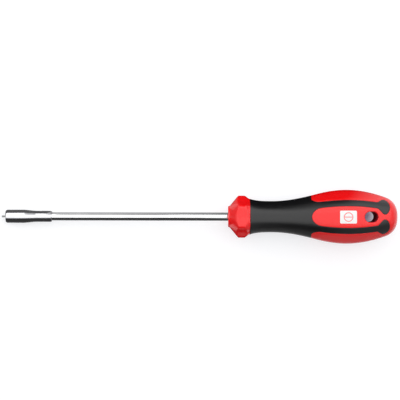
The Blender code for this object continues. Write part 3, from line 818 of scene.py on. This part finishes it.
class Finish:
    """A Principled material and short ways to feed it."""

    def __init__(self, name, **settings):
        self.material = bpy.data.materials.new(name)
        self.material.use_nodes = True
        self.nodes = self.material.node_tree.nodes
        self.links = self.material.node_tree.links
        self.shader = self.nodes["Principled BSDF"]
        self.place = self.nodes.new("ShaderNodeTexCoord").outputs["Object"]
        for socket, value in settings.items():
            self.shader.inputs[socket.replace("_", " ")].default_value = value

    def feed(self, node, socket, value):
        """Link value if it is another node's output, or else set it on the socket."""
        if isinstance(value, bpy.types.NodeSocket):
            self.links.new(value, node.inputs[socket])
        else:
            node.inputs[socket].default_value = value

    def math(self, operation, first, second=0.0):
        node = self.nodes.new("ShaderNodeMath")
        node.operation = operation
        self.feed(node, 0, first)
        self.feed(node, 1, second)
        return node.outputs[0]

    def past(self, value, limit):
        """How far the value's size goes past limit, or 0."""
        return self.math("MAXIMUM", self.math("SUBTRACT", self.math("ABSOLUTE", value), limit), 0.0)

    def near(self, value, limit):
        """1 where the value's size is under limit, 0 elsewhere."""
        return self.math("LESS_THAN", self.math("ABSOLUTE", value), limit)

    def length(self, first, second):
        squares = [self.math("MULTIPLY", value, value) for value in (first, second)]
        return self.math("SQRT", self.math("ADD", *squares))

    def axes(self):
        node = self.nodes.new("ShaderNodeSeparateXYZ")
        self.links.new(self.place, node.inputs[0])
        return node.outputs

    def noise(self, grain, detail=2.0, stretch=(1.0, 1.0, 1.0)):
        """Noise whose grain is that many metres across, drawn out along the axes by stretch."""
        mapping = self.nodes.new("ShaderNodeMapping")
        mapping.inputs["Scale"].default_value = [1 / (grain * factor) for factor in stretch]
        self.links.new(self.place, mapping.inputs["Vector"])
        node = self.nodes.new("ShaderNodeTexNoise")
        node.inputs["Scale"].default_value = 1.0
        node.inputs["Detail"].default_value = detail
        self.links.new(mapping.outputs[0], node.inputs["Vector"])
        return node.outputs["Fac"]

    def spread(self, value, low, high, start=0.3, end=0.7):
        """Value between start and end, spread over low to high."""
        node = self.nodes.new("ShaderNodeMapRange")
        self.feed(node, "Value", value)
        for socket, number in (
            ("From Min", start),
            ("From Max", end),
            ("To Min", low),
            ("To Max", high),
        ):
            node.inputs[socket].default_value = number
        return node.outputs[0]

    def blend(self, share, first, second):
        node = self.nodes.new("ShaderNodeMix")
        node.data_type = "RGBA"
        self.feed(node, MIX_SHARE, share)
        self.feed(node, MIX_FIRST, first)
        self.feed(node, MIX_SECOND, second)
        return node.outputs[MIX_RESULT]

    def bump(self, height, depth):
        """Relief of that depth in metres."""
        node = self.nodes.new("ShaderNodeBump")
        node.inputs["Strength"].default_value = 1.0
        node.inputs["Distance"].default_value = depth
        self.links.new(height, node.inputs["Height"])
        self.links.new(node.outputs[0], self.shader.inputs["Normal"])

    def paint(self, socket, value):
        self.feed(self.shader, socket, value)


def red_plastic():
    """Glossy moulded red with a fine grain, a white printed field on the top panel, and painted
    shade on the hang hole's wall.
    """
    finish = Finish("moulded_red_plastic", IOR=1.55)
    cloud = finish.noise(0.018, 3.0)
    red = finish.blend(finish.spread(cloud, 0, 1), (0.92, 0.0, 0.002, 1), (0.97, 0.002, 0.004, 1))
    bore = bore_shade_and_matt_mask(finish)
    # Painted shade: the hang hole's wall is painted a darker red than the rest of the core.
    red = finish.blend(bore, red, (0.45, 0.004, 0.03, 1))
    finish.paint("Base Color", finish.blend(print_mask(finish), red, PRINT_WHITE))
    grain = finish.spread(finish.noise(0.0009), 0.23, 0.27)
    finish.paint("Roughness", finish.math("MAXIMUM", grain, bore))
    finish.bump(finish.noise(0.00022, 1.0), 0.0000015)
    return finish.material


def bore_shade_and_matt_mask(finish):
    """1 on the hang hole's wall, which gets painted shade, a darker red, and a matt finish, 0
    elsewhere.
    """
    x, y, _ = finish.axes()
    past_x = finish.past(finish.math("SUBTRACT", x, HANG_HOLE_X), HANG_HOLE_STRAIGHT / 2)
    return finish.math("LESS_THAN", finish.length(past_x, y), HANG_HOLE_WIDTH / 2 + SKIN_GAP)


def print_mask(finish):
    """1 on the printed field, less on the slotted-screw mark in it, 0 elsewhere."""
    x, y, z = finish.axes()
    along = finish.math("SUBTRACT", x, PRINT_X)
    past_x = finish.past(along, PRINT_LENGTH / 2 - PRINT_CORNER)
    past_y = finish.past(y, PRINT_WIDTH / 2 - PRINT_CORNER)
    field = finish.math("LESS_THAN", finish.length(past_x, past_y), PRINT_CORNER)
    reach = finish.length(along, y)
    ring = finish.near(finish.math("SUBTRACT", reach, MARK_RADIUS), MARK_LINE / 2)
    slot = finish.near(y, MARK_LINE / 2)
    inside = finish.math("LESS_THAN", reach, MARK_RADIUS)
    mark = finish.math("MAXIMUM", ring, finish.math("MULTIPLY", slot, inside))
    white = finish.math("SUBTRACT", field, finish.math("MULTIPLY", mark, 1 - MARK_PALENESS))
    upper = finish.math("GREATER_THAN", z, 0.0)
    return finish.math("MULTIPLY", finish.math("MAXIMUM", white, 0.0), upper)


def soft_black():
    """Matt black soft plastic with a fine stipple."""
    finish = Finish("soft_black_plastic", IOR=1.50)
    cloud = finish.spread(finish.noise(0.012, 3.0), 0, 1)
    black = finish.blend(cloud, (0.002, 0.002, 0.0025, 1), (0.004, 0.004, 0.0045, 1))
    finish.paint("Base Color", black)
    finish.paint("Roughness", finish.spread(finish.noise(0.0007), 0.32, 0.42))
    finish.bump(finish.noise(0.00028, 2.0), 0.00002)
    return finish.material


def metal(name, dark, bright, smoothest, roughest, stretch, tip=None):
    """Plated steel with faint tool marks drawn out along one direction, and a bare tip if given."""
    finish = Finish(name, Metallic=1.0)
    cloud = finish.spread(finish.noise(0.006, 3.0), 0, 1)
    colour = finish.blend(cloud, dark, bright)
    if tip:
        bare = finish.math("LESS_THAN", finish.axes()["X"], TIP_REACH)
        colour = finish.blend(bare, colour, tip)
    finish.paint("Base Color", colour)
    marks = finish.noise(0.00012, 2.0, stretch)
    finish.paint("Roughness", finish.spread(marks, smoothest, roughest))
    finish.bump(marks, 0.0000004)
    return finish.material


# Studio


def card_light(name, start, end, radiances):
    """Light that changes evenly along X between two radiances."""
    material = bpy.data.materials.new(name)
    material.use_nodes = True
    nodes = material.node_tree.nodes
    links = material.node_tree.links
    nodes.clear()
    place = nodes.new("ShaderNodeTexCoord")
    axes = nodes.new("ShaderNodeSeparateXYZ")
    links.new(place.outputs["Object"], axes.inputs[0])
    ramp = nodes.new("ShaderNodeMapRange")
    ramp.inputs["From Min"].default_value = start
    ramp.inputs["From Max"].default_value = end
    ramp.inputs["To Min"].default_value = radiances[0]
    ramp.inputs["To Max"].default_value = radiances[1]
    links.new(axes.outputs["X"], ramp.inputs["Value"])
    emission = nodes.new("ShaderNodeEmission")
    links.new(ramp.outputs[0], emission.inputs["Strength"])
    output = nodes.new("ShaderNodeOutputMaterial")
    links.new(emission.outputs[0], output.inputs["Surface"])
    return material


def background_share(nodes, links):
    """1 for rays that show the background: from the camera, off gloss or through glass."""
    path = nodes.new("ShaderNodeLightPath")
    total = path.outputs["Is Camera Ray"]
    for name in ("Is Glossy Ray", "Is Transmission Ray"):
        highest = nodes.new("ShaderNodeMath")
        highest.operation = "MAXIMUM"
        links.new(total, highest.inputs[0])
        links.new(path.outputs[name], highest.inputs[1])
        total = highest.outputs[0]
    return total


def floor_material():
    """White floor that shows as plain white, but for its lit shadows and a painted shadow, a dimmer
    lavender glow where the tool lies close above it.
    """
    material = bpy.data.materials.new("white_floor")
    material.use_nodes = True
    nodes = material.node_tree.nodes
    links = material.node_tree.links
    shader = nodes["Principled BSDF"]
    shader.inputs["Base Color"].default_value = FLOOR_GREY
    shader.inputs["Roughness"].default_value = FLOOR_ROUGHNESS
    shader.inputs["Specular IOR Level"].default_value = 0.0
    # Painted shadow: ambient occlusion under the tool dims the floor's glow and tints it lavender.
    cover = nodes.new("ShaderNodeAmbientOcclusion")
    cover.inputs["Distance"].default_value = FLOOR_SHADE_REACH
    open_share = nodes.new("ShaderNodeMapRange")
    open_share.inputs["From Min"].default_value = FLOOR_SHADE_RANGE[0]
    open_share.inputs["From Max"].default_value = FLOOR_SHADE_RANGE[1]
    links.new(cover.outputs["AO"], open_share.inputs["Value"])
    shade = nodes.new("ShaderNodeMix")
    shade.data_type = "RGBA"
    links.new(open_share.outputs[0], shade.inputs[MIX_SHARE])
    shade.inputs[MIX_FIRST].default_value = FLOOR_SHADE_GLOW
    shade.inputs[MIX_SECOND].default_value = FLOOR_GLOW
    links.new(shade.outputs[MIX_RESULT], shader.inputs["Emission Color"])
    links.new(background_share(nodes, links), shader.inputs["Emission Strength"])
    return material


def plane(name, corners, material):
    mesh = bpy.data.meshes.new(name)
    mesh.from_pydata(corners, [], [(0, 1, 2, 3)])
    mesh.materials.append(material)
    piece = bpy.data.objects.new(name, mesh)
    bpy.context.scene.collection.objects.link(piece)
    return piece


def floor_height(x):
    """Height of the plane on which the sleeve's head and the handle's belly rest."""
    front = TIP_REACH + NOSE_ROUNDING_LENGTH
    slope = 0.0
    for place in spaced(PANEL_TIP, STRIPE_FLARE_X, FLOOR_CONTACT_SAMPLES):
        slope = max(slope, (skin_radius(place, math.pi) - HEAD_RADIUS) / (place - front))
    return -HEAD_RADIUS - slope * (x - front)


def make_floor():
    signs = ((-1, -1), (1, -1), (1, 1), (-1, 1))
    places = [(FLOOR_REACH * x, FLOOR_REACH * y) for x, y in signs]
    plane("floor", [(x, y, floor_height(x)) for x, y in places], floor_material())


def make_upright_cards():
    """Cards beside the tool, up to a line of sight that leans by so many degrees from upright."""
    # Painted reflections: dim or black cards that give the chrome and the plastic their dark and
    # grey bands in the gloss.
    cards = (
        ("sleeve_far", CARDS_START, 0.027, SLEEVE_CARD_DISTANCE, 62, (0.15, 0.15)),
        ("shank_far", 0.008, 0.149, CARD_DISTANCE, 32, (0.90, 0.45)),
        ("handle_far", 0.149, 0.268, CARD_DISTANCE, 52, (0.0, 0.0)),
        ("metal_near", CARDS_START, 0.155, -CARD_DISTANCE, 33, (0.07, 0.05)),
        ("grip_near", 0.155, PANEL_CARDS_START, -CARD_DISTANCE, 28, (0.05, 0.22)),
        ("panel_near", PANEL_CARDS_START, CARDS_END, -CARD_DISTANCE, 28, (0.42, 0.42)),
    )
    for name, start, end, y, lean, radiances in cards:
        height = abs(y) / math.tan(math.radians(lean))
        corners = [(x, y, CARD_FOOT) for x in (start, end)]
        corners += [(x, y, height) for x in (end, start)]
        make_card(f"card_{name}", corners, radiances)


def make_laid_cards():
    """Cards on the floor, from a foot near the tool to a head away from it."""
    # Painted reflections: sheets on the floor that show dark or grey in the gloss where the floor
    # itself would show white.
    cards = (
        ("sleeve_far", CARDS_START, 0.0315, 0.0, CARD_DISTANCE, (0.15, 0.15)),
        ("shank_far", 0.0315, COLLAR_CARDS_START, 0.0, CARD_DISTANCE, (0.50, 0.35)),
        ("handle_far", COLLAR_CARDS_START, 0.236, 0.0, CARD_DISTANCE, (0.0, 0.0)),
        ("tail_far", 0.236, 0.264, 0.0, CARD_DISTANCE, (0.0, 0.8)),
        ("metal_near", CARDS_START, COLLAR_CARDS_START, -0.009, -CARD_DISTANCE, (0.08, 0.08)),
        ("collar_under", COLLAR_CARDS_START, GRIP_CARDS_START, 0.0, -0.046, (0.0, 0.0)),
        ("collar_near", COLLAR_CARDS_START, GRIP_CARDS_START, -0.046, -CARD_DISTANCE, (0.55, 0.55)),
        ("grip_near", GRIP_CARDS_START, PANEL_CARDS_START, -0.030, -CARD_DISTANCE, (0.08, 0.28)),
        ("panel_near", PANEL_CARDS_START, CARDS_END, -0.030, -CARD_DISTANCE, (0.38, 0.38)),
    )
    for name, start, end, foot, head, radiances in cards:
        places = [(start, foot), (end, foot), (end, head), (start, head)]
        corners = [(x, y, floor_height(x) + CARD_LIFT) for x, y in places]
        make_card(f"card_{name}_laid", corners, radiances)


def make_collar_cards():
    """Glowing white cards across the collar's nose that only reflections see, which paint
    highlights on both sides of its cone.
    """
    front, rear = COLLAR_CARD_X
    inner, outer = COLLAR_CARD_Y
    foot, head = COLLAR_CARD_Z
    for name, side in (("far", 1), ("near", -1)):
        ends = ((front, side * inner), (rear, side * outer))
        corners = [(x, y, foot) for x, y in ends]
        corners += [(x, y, head) for x, y in reversed(ends)]
        make_card(f"card_collar_front_{name}", corners, (1.0, 1.0))


def make_card(name, corners, radiances):
    """Card that only reflections see: a glowing or black sheet that paints a reflection into the
    gloss and lights nothing.
    """
    card = plane(name, corners, card_light(name, corners[0][0], corners[1][0], radiances))
    card.visible_camera = False
    card.visible_diffuse = False
    card.visible_transmission = False
    card.visible_shadow = False


def make_softbox():
    """Large soft light in two parts that leans over the tool, brighter on the far side."""
    start, end = SOFTBOX_ENDS
    for near, far, radiance in zip(SOFTBOX_EDGES, SOFTBOX_EDGES[1:], SOFTBOX_RADIANCES):
        across = far[0] - near[0]
        rise = far[1] - near[1]
        light = bpy.data.lights.new("softbox", "AREA")
        light.shape = "RECTANGLE"
        light.size = end - start
        light.size_y = math.hypot(across, rise)
        light.energy = radiance * math.pi * light.size * light.size_y
        lamp = bpy.data.objects.new("softbox", light)
        lamp.location = ((start + end) / 2, near[0] + across / 2, near[1] + rise / 2)
        lamp.rotation_euler = (math.atan2(rise, across), 0, 0)
        bpy.context.scene.collection.objects.link(lamp)


def make_world():
    """White background for the camera and for reflections, and a dim fill for the rest."""
    world = bpy.data.worlds.new("studio")
    world.use_nodes = True
    bpy.context.scene.world = world
    nodes = world.node_tree.nodes
    links = world.node_tree.links
    background = nodes["Background"]
    background.inputs["Strength"].default_value = 1.0
    shade = nodes.new("ShaderNodeMix")
    shade.data_type = "RGBA"
    links.new(background_share(nodes, links), shade.inputs[MIX_SHARE])
    shade.inputs[MIX_FIRST].default_value = (WORLD_FILL, WORLD_FILL, WORLD_FILL, 1)
    shade.inputs[MIX_SECOND].default_value = (1, 1, 1, 1)
    links.new(shade.outputs[MIX_RESULT], background.inputs["Color"])


def make_camera():
    camera = bpy.data.cameras.new("camera")
    camera.sensor_width = SENSOR_WIDTH
    camera.lens = SENSOR_WIDTH * CAMERA_HEIGHT / FRAME_WIDTH
    holder = bpy.data.objects.new("camera", camera)
    holder.location = (FRAME_MIDDLE_X, FRAME_MIDDLE_Y, CAMERA_HEIGHT)
    holder.rotation_euler = (0, 0, CAMERA_ROLL)
    bpy.context.scene.collection.objects.link(holder)
    bpy.context.scene.camera = holder


def dress_tool():
    """Make every visible piece and tell which body it rides on."""
    chrome = metal(
        "polished_chrome",
        (0.70, 0.70, 0.71, 1),
        (0.78, 0.78, 0.79, 1),
        smoothest=0.06,
        roughest=0.14,
        stretch=(60, 1, 1),
        tip=(0.11, 0.11, 0.11, 1),
    )
    nickel = metal(
        "dark_nickel",
        (0.52, 0.52, 0.54, 1),
        (0.58, 0.58, 0.60, 1),
        smoothest=0.07,
        roughest=0.15,
        stretch=(1, 20, 20),
    )
    steel = metal(
        "spring_steel",
        (0.32, 0.32, 0.33, 1),
        (0.42, 0.42, 0.43, 1),
        smoothest=0.22,
        roughest=0.36,
        stretch=(4, 4, 4),
    )
    stand_for(make_handle_core(red_plastic()), "handle_core", "driver")
    stand_for(make_soft_grip(soft_black()), "soft_grip", "driver")
    stand_for(make_shank(chrome), "shank", "driver")
    stand_for(make_wedge_blade(chrome), "wedge_blade", "holder")
    stand_for(make_sleeve(nickel), "holding_sleeve", "holder")
    stand_for(make_nose_ring(nickel), "nose_ring", "holder")
    spring = make_spring(steel)
    stand_for(spring, "return_spring", "driver")
    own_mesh(spring)
    for node in ("stop_ring", "thrust_washer", "drive_pin"):
        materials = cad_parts[node].data.materials
        materials.clear()
        materials.append(steel)


bpy.context.scene.view_settings.view_transform = "Standard"
dress_tool()
make_floor()
make_upright_cards()
make_laid_cards()
make_collar_cards()
make_softbox()
make_world()
make_camera()
